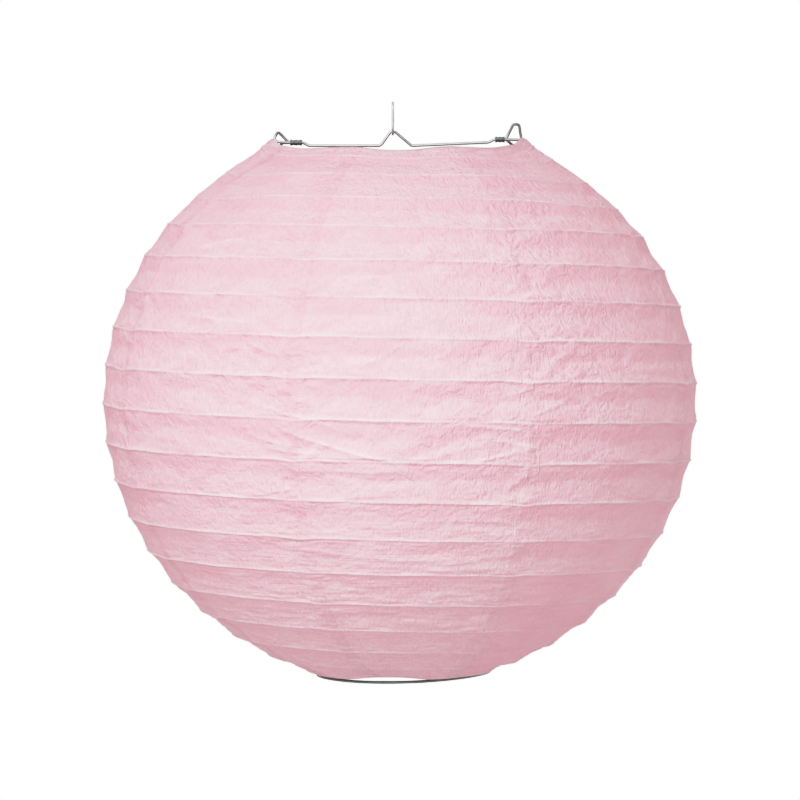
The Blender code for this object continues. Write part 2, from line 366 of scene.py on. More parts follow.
def sag(polar, azimuth, band, share):
    """How far the paper hangs in between two turns, with the crease it was packed with."""
    along = MERIDIAN * polar
    taut = taut_shoulder(polar, azimuth)
    low_down = below(polar, 1.35, 0.7)
    depth = (1.05 + 0.35 * round_noise(azimuth, along, 34 * MM, 22)) * MM
    depth = depth * np.minimum(band, 1) ** 1.3 * (1 - 0.5 * facing_share(azimuth) * low_down)
    depth = depth * (1 - 0.85 * taut)
    fold_at = 0.42 + 0.12 * round_noise(azimuth, along, 26 * MM, 23)
    fold_at = fold_at + 0.06 * round_noise(azimuth, along, 8 * MM, 24)
    side = np.where(share < fold_at, fold_at, 1 - fold_at)
    creased = 1 - np.sqrt(((share - fold_at) / side) ** 2 + 0.008) + 0.05
    crease = patches(azimuth, along, 30 * MM, 25, 0.72, 0.45, 0.2)
    hang = depth * ((1 - crease) * 4 * share * (1 - share) + crease * np.clip(creased, 0, 1))
    half_gore = 0.5 * GORE_SPAN * SHADE_RADIUS * np.sin(polar)
    flat = 1 - (from_seam(polar, azimuth) / half_gore) ** 2
    return hang + 0.30 * MM * np.sin(polar) * flat * 4 * share * (1 - share) * (1 - 0.7 * taut)


def drawn_over_wire(polar, azimuth, band, share):
    """How far the paper falls away beside the wire, and tucks in under it."""
    from_rib = np.minimum(share, 1 - share) * band * BAND
    under_rib = share * band * BAND
    bump = 0.26 * MM * (1 - 0.5 * taut_shoulder(polar, azimuth))
    tuck = patches(azimuth, MERIDIAN * polar, 19 * MM, 26, 0.6, 0.8)
    tuck = 0.13 * MM * tuck * np.exp(-(((under_rib - 1.3 * MM) / (0.5 * MM)) ** 2))
    return bump - bump * np.exp(-((from_rib / (0.50 * MM)) ** 2)) + tuck


# The long creases along each band: height over width, width in metres, and seed
LONG_CREASES = ((0.085, 34 * MM, 81), (0.10, 22 * MM, 83), (0.13, 12 * MM, 85))


def crumples(polar, azimuth, share, free):
    """The height of the crumples; free is 0 on the wire and 1 where the paper is clear of it."""
    along = MERIDIAN * polar
    seam = from_seam(polar, azimuth)
    crown = crown_share(polar)
    facing = facing_share(azimuth)
    low_down = below(polar, 1.35, 0.7)
    deep_down = below(polar, 1.95, 0.4)

    # Facets, long and narrow where the paper is drawn tight round the top and low down.
    large = facets(azimuth, along, 15 * MM, 31, wide=1.9) - 3.0 * MM
    medium = facets(azimuth, along, 6.5 * MM, 41, wide=1.6) - 1.3 * MM
    isotropic = roughness(polar, azimuth) * (1 - 0.75 * crown)
    height = free * isotropic * (0.12 * large + 0.075 * medium)
    drawn = 0.24 * (facets(azimuth, along, 7 * MM, 33, wide=6) - 1.5 * MM)
    drawn = drawn + 0.30 * (facets(azimuth, along, 3.4 * MM, 43, wide=9) - 0.7 * MM)
    pulled = 0.6 * crown + 0.05 * low_down + 0.4 * deep_down
    pulled = pulled * (1 - 0.6 * taut_shoulder(polar, azimuth))
    height = height + (0.1 + 0.9 * free) * pulled * drawn

    # Long creases along the band, closer together low down, and fainter on the side gores.
    near_seam = np.exp(-np.abs(seam) / (9 * MM))
    for long, size, seed in LONG_CREASES:
        tilt = 0.05 * seam * np.sign(0.5 - share)
        line = round_noise(azimuth, along + tilt, size, seed, long)
        sharp = np.exp(-np.abs(line) / 0.10)
        patch = patches(azimuth, along, 30 * MM, seed + 1, 0.35, 1.3)
        amount = patch * (0.35 + 0.65 * facing) * (0.45 + 0.75 * low_down + 0.5 * near_seam)
        height = height + 0.16 * MM * free * amount * sharp

    # Pulls that fan out from where a seam crosses the wire.
    slant = np.where(share < 0.5, 1.0, -1.0)
    across = along + slant * 0.50 * np.abs(seam)
    fan = np.exp(-np.abs(round_noise(azimuth, across, 9 * MM, 61, long=0.28)) / 0.15)
    return height + 0.30 * MM * fan * np.exp(-np.abs(seam) / (8 * MM)) * free


def crepe(polar, azimuth, free):
    """The height of the fine crepe that runs down each gore."""
    along = MERIDIAN * polar
    upright = 0.35 + 0.65 * ease((np.abs(np.cos(azimuth)) - 0.25) / 0.35)
    shaken = azimuth + 0.006 * round_noise(azimuth, along, 7 * MM, 72)
    grain = round_noise(shaken, along, 1.5 * MM, 71, 5)
    slack = patches(azimuth, along, 42 * MM, 21, 0.5, 0.8)
    return 0.032 * MM * upright * free * grain * (0.5 + 0.7 * slack)


def paper_lift(polar, azimuth, turn, first, last):
    """How far the paper's face stands out from the shade's curve, and the crumples' part."""
    band, share = band_at(turn, first, last)
    free = ease(np.minimum(share, 1 - share) * band * BAND / (1.8 * MM))
    crumple = crumples(polar, azimuth, share, free)
    lift = crepe(polar, azimuth, free) + free * folds(azimuth, (polar - RIB_FRONT) / RIB_PITCH)[0]
    lift = lift - sag(polar, azimuth, band, share) - drawn_over_wire(polar, azimuth, band, share)
    return lift + crumple, crumple


# Meshes


def placed(name, data):
    """A new object in the scene."""
    made = bpy.data.objects.new(name, data)
    bpy.context.collection.objects.link(made)
    return made


def grid_mesh(name, points, closed_across=False, closed_along=False):
    """A mesh object of quads over an array of rows and columns of points."""
    rows, columns = points.shape[:2]
    index = np.arange(rows * columns).reshape(rows, columns)
    if closed_across:
        index = np.concatenate([index, index[:, :1]], axis=1)
    if closed_along:
        index = np.concatenate([index, index[:1]], axis=0)
    quads = np.stack([index[:-1, :-1], index[1:, :-1], index[1:, 1:], index[:-1, 1:]], axis=-1)
    mesh = bpy.data.meshes.new(name)
    mesh.from_pydata(points.reshape(-1, 3).tolist(), [], quads.reshape(-1, 4).tolist())
    mesh.shade_smooth()
    return placed(name, mesh)


def mark(piece, name, values):
    """Keeps a number for each point of the mesh, for its material to read."""
    attribute = piece.data.attributes.new(name, "FLOAT", "POINT")
    attribute.data.foreach_set("value", np.asarray(values, np.float32).ravel())


def uv_map(piece, across, along):
    """A map in metres of paper, so that a material's fibres run along the gore."""
    layer = piece.data.uv_layers.new(name="paper")
    loops = np.zeros(len(piece.data.loops), np.int32)
    piece.data.loops.foreach_get("vertex_index", loops)
    flat = np.stack([across.ravel()[loops], along.ravel()[loops]], axis=-1)
    layer.data.foreach_set("uv", flat.astype(np.float32).ravel())


def tube(name, path, radius, sides=14, closed=False, swell=None):
    """A wire: a tube along the path, with rounded ends unless it is closed.

    swell, if given, is each point's radius as a share of radius.
    """
    points = np.array([tuple(point) for point in path])
    count = len(points)
    swell = np.ones(count) if swell is None else np.asarray(swell, float)
    if closed:
        ahead = np.roll(points, -1, axis=0) - np.roll(points, 1, axis=0)
    else:
        ahead = np.gradient(points, axis=0)
    ahead /= np.linalg.norm(ahead, axis=1)[:, None]
    start = np.cross(ahead[0], (0.3, 0.5, 0.81))
    side = start / np.linalg.norm(start)
    sides_of = []
    for direction in ahead:
        side = side - direction * side.dot(direction)
        side = side / np.linalg.norm(side)
        sides_of.append(side)
    first = np.array(sides_of)
    second = np.cross(ahead, first)
    if closed:
        last = first[-1] - ahead[0] * first[-1].dot(ahead[0])
        twist = math.atan2(last.dot(second[0]), last.dot(first[0]))
        turn = -twist * np.arange(count) / count
        first, second = (
            first * np.cos(turn)[:, None] + second * np.sin(turn)[:, None],
            second * np.cos(turn)[:, None] - first * np.sin(turn)[:, None],
        )
    angles = TAU * np.arange(sides) / sides
    spokes = first[:, None] * np.cos(angles)[:, None] - second[:, None] * np.sin(angles)[:, None]
    rings = points[:, None] + spokes * (radius * swell)[:, None, None]
    if closed:
        return grid_mesh(name, rings, closed_across=True, closed_along=True)
    caps = []
    for end, way in ((0, -1), (-1, 1)):
        for lean in (0.35, 0.75, 1.0):
            angle = lean * math.pi / 2 * 0.98
            ring = points[end] + spokes[end] * radius * swell[end] * math.cos(angle)
            caps.append(ring + way * ahead[end] * 0.45 * radius * math.sin(angle))
    rings = np.concatenate([caps[2::-1], rings, caps[3:]])
    made = grid_mesh(name, rings, closed_across=True)
    turn_out(made.data, ends=sides)
    return made


def turn_out(mesh, ends=0):
    """Turns the faces outwards, once a tube's end loops, each of this many points, are filled."""
    form = bmesh.new()
    form.from_mesh(mesh)
    if ends:
        form.verts.ensure_lookup_table()
        form.faces.new(form.verts[:ends])
        form.faces.new(form.verts[-ends:][::-1])
    bmesh.ops.recalc_face_normals(form, faces=form.faces)
    form.to_mesh(mesh)
    form.free()
    mesh.shade_smooth()


# Materials


class Nodes:
    """A short way to write a material's nodes."""

    def __init__(self, name):
        self.material = bpy.data.materials.new(name)
        self.material.use_nodes = True
        self.tree = self.material.node_tree
        self.shader = self.tree.nodes["Principled BSDF"]
        self.output = self.tree.nodes["Material Output"]

    def add(self, kind, links=(), **settings):
        """A node with these settings; links gives its inputs, from sockets or plain values."""
        node = self.tree.nodes.new("ShaderNode" + kind)
        for key, value in settings.items():
            setattr(node, key, value)
        for key, value in dict(links).items():
            self.feed(node, key, value)
        return node

    def feed(self, node, key, value):
        """Links a socket to a node's input, or sets the input to a plain value."""
        if isinstance(value, bpy.types.NodeSocket):
            self.tree.links.new(value, node.inputs[key])
        else:
            node.inputs[key].default_value = value

    def math(self, operation, first, second=0.0, third=0.0):
        """The result of one operation."""
        return self.add("Math", {0: first, 1: second, 2: third}, operation=operation).outputs[0]

    def range(self, value, low, high, to_low=0.0, to_high=1.0):
        """A value moved from one range to another and kept inside it."""
        links = {0: value, 1: low, 2: high, 3: to_low, 4: to_high}
        return self.add("MapRange", links).outputs[0]

    def mix(self, share, one, other):
        """A colour between two."""
        node = self.add("Mix", data_type="RGBA")
        self.feed(node, 0, share)
        self.feed(node, 6, one)
        self.feed(node, 7, other)
        return node.outputs[2]

    def noise(self, place, scale, detail=2.0, roughness=0.5, stretch=None):
        """Noise with scale bumps to a metre, drawn out along the map's axes by stretch."""
        if stretch:
            place = self.add("Mapping", {"Vector": place, "Scale": stretch}).outputs[0]
        links = {"Vector": place, "Scale": scale, "Detail": detail, "Roughness": roughness}
        return self.add("TexNoise", links).outputs[0]

    def facets(self, place, scale, stretch):
        """Height of flat facets over the creases between them, with scale facets to a metre."""
        place = self.add("Mapping", {"Vector": place, "Scale": stretch}).outputs[0]
        links = {"Vector": place, "Scale": scale}
        return self.add("TexVoronoi", links, feature="DISTANCE_TO_EDGE").outputs["Distance"]

    def attribute(self, name):
        """A number that mark() kept for each point."""
        return self.add("Attribute", attribute_name=name).outputs["Fac"]


# The tissue's two tones, the painted highlights and painted shade laid over them with the lap's and
# hem's tones, and its two tones where light comes through
TISSUE_DARK = (0.835, 0.455, 0.53, 1)
TISSUE_LIGHT = (0.93, 0.595, 0.66, 1)
PAINTED_HIGHLIGHT_PALE = (0.97, 0.82, 0.86, 1)
CREST_HIGHLIGHT_PALE = (0.97, 0.80, 0.85, 1)
DRAWN_CREST_HIGHLIGHT = (0.96, 0.72, 0.78, 1)
PAINTED_SHADE_PINK = (0.84, 0.41, 0.49, 1)
LAP_PINK = (0.84, 0.44, 0.54, 1)
HEM_GREY = (0.52, 0.40, 0.45, 1)
THROUGH_DARK = (0.84, 0.38, 0.46, 1)
THROUGH_LIGHT = (0.92, 0.47, 0.55, 1)
THROUGH_SHARE = 0.25


def tissue():
    """Crinkled pink tissue: pale where it reflects, deeper where light comes through it, with
    painted highlights and painted shade.
    """
    n = Nodes("tissue_paper")
    n.material.use_backface_culling = False
    flat = n.add("UVMap", uv_map="paper").outputs[0]
    bend = n.add("TexNoise", {"Vector": flat, "Scale": 130, "Detail": 2.0}).outputs["Color"]
    links = {0: bend, 1: (0.009, 0.007, 0.0), 2: flat}
    place = n.add("VectorMath", links, operation="MULTIPLY_ADD").outputs[0]
    cloud = n.noise(flat, 45, 3, 0.6)
    fibre = n.noise(flat, 900, 3, 0.65, stretch=(1.0, 0.45, 1.0))
    speck = n.noise(flat, 2200, 2, 0.6)
    wrinkle = n.noise(flat, 1150, 3, 0.6, stretch=(1.0, 0.28, 1.0))
    tone = n.range(cloud, 0.3, 0.7, -0.4, 0.4)
    for grain, strength in ((fibre, 0.6), (speck, 0.5), (wrinkle, 0.6)):
        tone = n.math("ADD", tone, n.range(grain, 0.3, 0.7, -strength, strength))
    share = n.range(tone, -0.95, 0.95)

    # Fine creases between small flat facets, and long ones where the paper is drawn tight.
    rough = n.attribute("rough")
    tension = n.attribute("tension")
    small = n.facets(place, 300, (0.60, 1.0, 1.0))
    drawn = n.facets(flat, 430, (0.07, 1.0, 1.0))
    height = n.math("MULTIPLY", n.math("MULTIPLY", small, 1.05 * MM), rough)
    height = n.math("MULTIPLY_ADD", drawn, n.math("MULTIPLY", tension, 0.42 * MM), height)
    height = n.math("MULTIPLY_ADD", fibre, 0.50 * MM, height)
    height = n.math("MULTIPLY_ADD", wrinkle, 0.52 * MM, height)
    bump = n.add("Bump", {"Strength": 1.0, "Distance": 1.0, "Height": height}).outputs[0]

    # Painted highlight on the edges of the small facets and along the long drawn creases
    crest_highlight = n.math("MULTIPLY", n.range(small, 0.07, 0.0), n.math("MULTIPLY", rough, 0.36))
    line = n.math("MULTIPLY", n.range(drawn, 0.10, 0.0), n.math("MULTIPLY", tension, 0.42))
    pale = n.mix(share, TISSUE_DARK, TISSUE_LIGHT)
    # Painted highlight along the wire, on crests and on lit slopes
    pale = n.mix(n.math("MULTIPLY", n.attribute("painted_highlight"), 0.70), pale, PAINTED_HIGHLIGHT_PALE)
    pale = n.mix(crest_highlight, pale, CREST_HIGHLIGHT_PALE)
    pale = n.mix(line, pale, DRAWN_CREST_HIGHLIGHT)
    # The shade mark lays painted shade
    for name, strength, colour in (
        ("shade", 0.50, PAINTED_SHADE_PINK),
        ("lap", 0.10, LAP_PINK),
        ("hem", 0.55, HEM_GREY),
    ):
        pale = n.mix(n.math("MULTIPLY", n.attribute(name), strength), pale, colour)
    deep = n.mix(share, THROUGH_DARK, THROUGH_LIGHT)
    n.feed(n.shader, "Base Color", pale)
    n.feed(n.shader, "Roughness", n.range(fibre, 0.2, 0.8, 0.62, 0.80))
    n.shader.inputs["Specular IOR Level"].default_value = 0.35
    n.feed(n.shader, "Normal", bump)
    through = n.add("BsdfTranslucent", {"Color": deep, "Normal": bump}).outputs[0]
    both = n.add("MixShader", {0: THROUGH_SHARE, 1: n.shader.outputs[0], 2: through})
    n.feed(n.output, "Surface", both.outputs[0])
    return n.material


def wire_steel(name, dark, light, roughness, darker_ends=None):
    """Drawn wire: fine lines along it, and a little dulling; the last colour is laid where the wire
    is marked to be darker.
    """
    n = Nodes(name)
    place = n.add("TexCoord").outputs["Object"]
    dull = n.noise(place, 420, 4, 0.65)
    lines = n.noise(place, 3500, 2, 0.6)
    share = n.range(n.math("ADD", dull, n.math("MULTIPLY", lines, 0.5)), 0.45, 1.0)
    steel = n.mix(share, dark, light)
    if darker_ends:
        steel = n.mix(n.attribute("darker_ends"), steel, darker_ends)
    n.feed(n.shader, "Base Color", steel)
    n.feed(n.shader, "Roughness", n.range(dull, 0.3, 0.7, roughness - 0.08, roughness + 0.10))
    n.shader.inputs["Metallic"].default_value = 1.0
    links = {"Strength": 0.25, "Distance": 0.03 * MM, "Height": lines}
    n.feed(n.shader, "Normal", n.add("Bump", links).outputs[0])
    return n.material


FLOOR_DARK = (0.77, 0.77, 0.77, 1)
FLOOR_LIGHT = (0.81, 0.81, 0.81, 1)


def floor_white():
    """Plain pale floor, a little cloudy."""
    n = Nodes("floor")
    place = n.add("TexCoord").outputs["Object"]
    n.feed(n.shader, "Base Color", n.mix(n.noise(place, 3), FLOOR_DARK, FLOOR_LIGHT))
    n.shader.inputs["Roughness"].default_value = 0.8
    return n.material


# Pieces


def dress(piece, material, slot, body, *nodes):
    """Gives a piece its material and the body it rides on, and hides what it replaces; slot is not
    used.
    """
    piece.data.materials.append(material)
    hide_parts(*nodes)
    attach(piece, body)
    return piece


FRONT_HIGHLIGHT_GORE = 5  # the gore at the middle of the front, which gets a painted highlight
LOW_SHADE_GORE = 6  # the next one, which gets painted shade low down, where it is turned away from the light
ROW_CROWDING = 0.55  # how much closer the rows of points lie by the wire than between turns
WRAP_ANGLES = np.radians(np.linspace(20, 180, 9))  # round the top ring's wire
WRAP_DROPS = np.array([0.8, 1.7, 2.7, 3.8, 5.0]) * MM  # down inside it
WRAP_ROWS = len(WRAP_ANGLES) + len(WRAP_DROPS)
WRAP_STEP = 0.6 * MM


def gore_turns(azimuth):
    """The rib's count of turns at a gore's rows of points, from the top ring to the foot ring."""
    first = turns_down(TOP_ANGLE, azimuth)
    last = turns_down(BOTTOM_ANGLE, azimuth)
    low = (math.ceil(first.max() * ROWS_PER_BAND) + 2) / ROWS_PER_BAND
    high = (math.floor(last.min() * ROWS_PER_BAND) - 2) / ROWS_PER_BAND
    top_rows = math.ceil((low - first.min()) * ROWS_PER_BAND)
    foot_rows = math.ceil((last.max() - high) * ROWS_PER_BAND)
    middle = np.linspace(low, high, round((high - low) * ROWS_PER_BAND) + 1)
    top_share = np.linspace(0, 1, top_rows + 1)[:-1, None]
    foot_share = np.linspace(0, 1, foot_rows + 1)[1:, None]
    turn = np.concatenate(
        [
            first + (low - first) * top_share,
            np.repeat(middle[:, None], len(azimuth), axis=1),
            high + (last - high) * foot_share,
        ]
    )
    return turn - ROW_CROWDING * np.sin(TAU * turn) / TAU


def gore_angles(number):
    """The azimuths and polar angles of one gore's points and its lap's, as rows and columns."""
    start = FIRST_SEAM + GORE_SPAN * number
    azimuth = start + GORE_SPAN * np.linspace(0, 1, COLUMNS + 1)
    turn = gore_turns(azimuth)
    azimuth = np.repeat(azimuth[None], len(turn), axis=0)
    polar = rib_polar(azimuth) + RIB_PITCH * turn
    width = OVERLAP * np.linspace(0, 1, OVERLAP_COLUMNS + 1)[1:]
    lap_azimuth = azimuth[:, -1:] + width / (SHADE_RADIUS * np.sin(polar[:, -1:]))
    lap_polar = np.repeat(polar[:, -1:], OVERLAP_COLUMNS, axis=1)
    azimuth = np.concatenate([azimuth, lap_azimuth], axis=1)
    return azimuth, np.concatenate([polar, lap_polar], axis=1)


def near_top(polar, reach):
    """1 at the top ring, falling to 0 this many degrees below it."""
    return ease(1 - (polar - TOP_ANGLE) / math.radians(reach))


def near_foot(polar, reach):
    """1 at the foot ring, falling to 0 this many degrees above it."""
    return ease(1 - (BOTTOM_ANGLE - polar) / math.radians(reach))


def hemmed(polar, azimuth, lift, lap):
    """The polar angle and lift of a gore's points once its hems are drawn to the two rings."""
    top_hem = near_top(polar, 1.8)
    foot_hem = near_foot(polar, 2.0)
    lift = lift * (1 - 0.7 * near_top(polar, 4.5)) * (1 - top_hem) * (1 - foot_hem)
    lift = lift + 0.45 * RING_RADIUS * near_top(polar, 5.5) * (1 - top_hem)
    lift = lift + top_hem * (RING_RADIUS + SKIN + LAP_HEIGHT * lap)
    lift = lift + foot_hem * (0.05 * MM + LAP_HEIGHT * lap)
    loose = near_foot(polar, 5.5) * foot_gap(azimuth)
    polar = polar - (foot_hem * 0.5 * MM + 0.6 * loose) / MERIDIAN
    return polar, lift - loose


def gore_marks(number, polar, azimuth, turn, crumple, past):
    """What the tissue's material reads at each point of a gore, by name."""
    along = MERIDIAN * polar
    facing = facing_share(azimuth)
    low_down = below(polar, 1.75, 0.6)
    _, crest_highlight, fold_shade = folds(azimuth, (polar - RIB_FRONT) / RIB_PITCH)

    # How far the crumples' slopes are turned to the light, up and to the left, for the painted
    # highlight and shade on them.
    downward = np.gradient(crumple, axis=0) / (MERIDIAN * np.gradient(polar, axis=0))
    across = SHADE_RADIUS * np.sin(polar) * np.gradient(azimuth, axis=1)
    lit = 0.9 * downward + 0.45 * np.gradient(crumple, axis=1) / across
    lit = lit * (1 - 0.55 * low_down)

    # Painted highlight along the wire, on the folds' crests, on slopes turned to the light and on
    # the front gore.
    broken = patches(azimuth, along, 22 * MM, 97, 0.60, 0.8, 0.1)
    from_rib = (turn - np.round(turn)) * BAND
    reach = np.where(from_rib < 0, 0.50 + 0.35 * facing * (1 - low_down), 0.34) * MM
    painted_highlight = broken * (0.95 + 0.15 * facing * (1 - low_down)) * np.exp(-((from_rib / reach) ** 2))
    painted_highlight = painted_highlight * (1 - 0.5 * taut_shoulder(polar, azimuth)) + 1.6 * np.clip(lit, 0, 0.3)
    painted_highlight = painted_highlight + 1.6 * crest_highlight + 0.14 * (number == FRONT_HIGHLIGHT_GORE) * (1 - low_down)

    # Painted shade: in each band's upper half, which faces down, just under the wire, under the long
    # folds, on slopes turned from the light and low on the gore turned away from it.
    share = turn - np.floor(turn)
    edge_at = 0.45 + 0.10 * round_noise(azimuth, along, 21 * MM, 98)
    edge_at = edge_at + 0.06 * round_noise(azimuth, along, 6 * MM, 99)
    upper_half_shade = patches(azimuth, along, 28 * MM, 96, 0.80, 0.9, 0.15, 1.4)
    upper_half_shade = upper_half_shade * ease(share / 0.03) * ease((edge_at - share) / 0.12 + 0.5)
    upper_half_shade = upper_half_shade * (0.72 + 0.30 * facing) * (1 - 0.45 * low_down)
    under_rib = np.exp(-(((from_rib - 1.05 * MM) / (0.60 * MM)) ** 2))
    turned_away_shade = below(polar, 2.1, 0.30) * (number == LOW_SHADE_GORE)
    shade = upper_half_shade + 0.38 * broken * under_rib + 1.3 * fold_shade + 0.80 * turned_away_shade
    shade = shade + 4.2 * np.clip(-lit, 0, 0.3)

    from_top = MERIDIAN * (polar - TOP_ANGLE) / (0.7 * MM)
    from_foot = MERIDIAN * (BOTTOM_ANGLE - polar) / (0.6 * MM)
    tight = 0.35 * crown_share(polar) + below(polar, 1.55, 0.70)
    return {
        "hem": np.exp(-(from_top**2)) + np.exp(-(from_foot**2)),
        "painted_highlight": np.clip(painted_highlight, 0, 1),
        "shade": np.clip(shade, 0, 1),
        "rough": roughness(polar, azimuth),
        "tension": tight * (0.45 + 0.55 * facing),
        "lap": ease((past + 0.2 * MM) / (0.8 * MM)),
    }


def with_wrap(values):
    """Values for the rows that go over the top ring too: they take the first row's."""
    return np.concatenate([np.repeat(values[:1], WRAP_ROWS, axis=0), values])


def paper_gore(number, material):
    """One gore: its face, the hem over the top ring and the lap over the next gore."""
    azimuth, polar = gore_angles(number)
    turn = turns_down(polar, azimuth)
    first = turns_down(TOP_ANGLE, azimuth)
    last = turns_down(BOTTOM_ANGLE, azimuth)
    polar = polar + wander(polar, azimuth)
    lift, crumple = paper_lift(polar - wander(polar, azimuth), azimuth, turn, first, last)
    past = (azimuth - FIRST_SEAM - GORE_SPAN * (number + 1)) * SHADE_RADIUS * np.sin(polar)
    lap = ease((past + 1.5 * MM) / (1.5 * MM))
    curl = (0.04 + 0.05 * round_noise(azimuth, MERIDIAN * polar, 9 * MM, 91)) * MM
    lift = lift + lap * LAP_HEIGHT + ease(past / OVERLAP) * curl
    polar, lift = hemmed(polar, azimuth, lift, lap)
    points = np.concatenate([top_wrap(azimuth[0], lap[0]), shade_points(polar, azimuth, lift)])
    piece = grid_mesh(f"tissue_gore_{number + 1}", points)

    marks = gore_marks(number, polar, azimuth, turn, crumple, past)
    for name, values in marks.items():
        mark(piece, name, with_wrap(values))
    along = MERIDIAN * polar
    wrap_along = along[:1] - WRAP_STEP * np.arange(WRAP_ROWS, 0, -1)[:, None]
    uv_map(piece, with_wrap(azimuth * SHADE_RADIUS), np.concatenate([wrap_along, along]))
    return dress(piece, material, "tissue_paper", "shade", f"paper_gore_{number + 1}")


def top_wrap(azimuth, lap):
    """Rows that take the paper over the top ring and a little way down inside."""
    face = shade_points(np.full_like(azimuth, TOP_ANGLE), azimuth, 0.0)
    out = shade_points(np.full_like(azimuth, TOP_ANGLE), azimuth, MM) - face
    out /= np.linalg.norm(out, axis=1)[:, None]
    round_ring = np.stack([-np.sin(azimuth), np.cos(azimuth), 0 * azimuth], axis=-1)
    upward = np.cross(out, round_ring)
    upward *= np.sign(upward[:, 2:3])
    radius = (RING_RADIUS + SKIN + LAP_HEIGHT * lap)[:, None]
    rows = [
        face + radius * (out * math.cos(angle) + upward * math.sin(angle)) for angle in WRAP_ANGLES
    ]
    crinkle = round_noise(azimuth, 0 * azimuth, 4 * MM, 95)[:, None]
    for i, drop in enumerate(WRAP_DROPS):
        inward = radius - 0.05 * MM * i * (1 + crinkle)
        ragged = drop * (1 + 0.12 * crinkle)
        rows.append(face - inward * out - ragged * upward)
    return np.array(rows[::-1])


def foot_gap(azimuth):
    """How far the bottom hem stands up from the ring: the glue has let go at the front left."""
    front = from_front(azimuth)
    return 1.15 * MM * ease((front + 38) / 22) * ease((21 - front) / 26)


def rib_spiral(material):
    """The spiral wire under the ridges of the paper."""
    steps = 300  # to a turn
    azimuth = np.arange(-2 * steps, 18 * steps) * TAU / steps + FIRST_SEAM
    polar = rib_polar(azimuth)
    inside = (polar > RIB_TOP) & (polar < RIB_BOTTOM)
    azimuth = azimuth[inside]
    polar = polar[inside]
    polar = polar + wander(polar, azimuth)
    path = shade_points(polar, azimuth, -RIB_DEPTH)
    piece = tube("spiral_rib", path, RIB_RADIUS, sides=8)
    return dress(piece, material, "steel_wire", "shade", "rib_wire")


WELD_SHARPNESS = 45  # the lump of a ring's weld reaches a forty-fifth of a radian each way


def ring_wire(name, polar, material, body, node, weld_at, radius=RING_RADIUS, droop=0.0):
    """A ring of wire with its weld's lump at this azimuth; it hangs down by droop at the front."""
    azimuth = TAU * np.linspace(0, 1, 240, endpoint=False)
    path = shade_points(np.full_like(azimuth, polar), azimuth, 0.0)
    front = from_front(azimuth)
    path[:, 2] -= droop * ease((front + 80) / 65) * ease((65 - front) / 65)
    from_weld = np.abs((azimuth - weld_at + math.pi) % TAU - math.pi)
    swell = 1 + 0.22 * np.exp(-((from_weld * WELD_SHARPNESS) ** 2))
    piece = tube(name, path, radius, sides=14, closed=True, swell=swell)
    return dress(piece, material, "steel_wire", body, node)


def at(x, z, y=0.0):
    """A point given in millimetres from the shade's centre."""
    return Vector((SHADE_AXIS_X + x * MM, y * MM, CENTRE_Z + z * MM))


def bent(corners, step=0.35 * MM):
    """Points along a wire with these corners, each a place and the radius it is bent to."""
    places = [place for place, _ in corners]
    path = [places[0]]
    for before, (corner, radius), after in zip(places, corners[1:], places[2:]):
        back = (before - corner).normalized()
        onward = (after - corner).normalized()
        turn = math.pi - back.angle(onward)
        room = 0.48 * min((before - corner).length, (after - corner).length)
        setback = min(radius * MM * math.tan(turn / 2), room)
        middle = corner + (back + onward).normalized() * setback / math.sin(turn / 2)
        arm = corner + back * setback - middle
        for i in range(13):
            path.append(middle + Matrix.Rotation(turn * i / 12, 3, onward.cross(back)) @ arm)
    path.append(places[-1])
    points = np.array([tuple(point) for point in path])
    run = np.concatenate([[0], np.cumsum(np.linalg.norm(np.diff(points, axis=0), axis=1))])
    even = np.linspace(0, run[-1], max(8, round(run[-1] / step)))
    return np.stack([np.interp(even, run, points[:, axis]) for axis in range(3)], axis=-1)


# The expander, in millimetres from the shade's centre
STRAND_STEP = 1.5
LEFT_CRIMP = (-46.1, -41.2)
LEFT_CRIMP_Z = 108.1
RIGHT_CRIMP = (40.0, 43.9)
RIGHT_CRIMP_Z = 109.4
BAR_Z = 106.8
PEAK_Z = 112.6


def mark_darker_ends(piece, least):
    """Marks the expander's wire to be darker outside its two sleeves, and least so in the low
    strands.
    """
    across = np.array([abs(point.co.x - SHADE_AXIS_X) for point in piece.data.vertices])
    height = np.array([point.co.z - CENTRE_Z for point in piece.data.vertices])
    raised = ease((height - 109.9 * MM) / (1.6 * MM))
    mark(piece, "darker_ends", ease((across - 44 * MM) / (2.5 * MM)) * np.maximum(raised, least))


def top_bar(material):
    """The expander's upper wire, with the peak that the loop hangs on and a loop at each end."""
    front = -STRAND_STEP
    corners = [
        (at(-41.4, LEFT_CRIMP_Z, front), 0),
        (at(-46.6, LEFT_CRIMP_Z, front), 1.0),
        (at(-53.4, 108.5, 0.8 * front), 1.6),
        (at(-51.3, 112.8, 0.2 * front), 0.8),
        (at(-46.6, LEFT_CRIMP_Z), 1.0),
        (at(-40.8, LEFT_CRIMP_Z), 1.0),
        (at(-38.2, BAR_Z), 2.0),
        (at(-8.1, BAR_Z), 2.6),
        (at(-4.0, PEAK_Z), 0.9),
        (at(-2.0, PEAK_Z), 0.9),
        (at(4.9, BAR_Z), 1.4),
        (at(37.0, 108.2), 2.0),
        (at(39.6, RIGHT_CRIMP_Z), 1.0),
        (at(44.4, RIGHT_CRIMP_Z), 1.0),
        (at(47.6, 115.8), 1.1),
        (at(50.0, 115.8), 1.1),
        (at(51.3, 107.4), 0.7),
        (at(51.3, 107.4, front), 0.7),
        (at(50.3, 109.2, front), 0.9),
        (at(44.4, RIGHT_CRIMP_Z, front), 1.0),
        (at(40.2, RIGHT_CRIMP_Z, front), 0),
    ]
    piece = tube("expander_bar", bent(corners), EXPANDER_RADIUS, sides=16)
    mark_darker_ends(piece, 0.25)
    return dress(piece, material, "steel_wire", "expander", "top_bar")


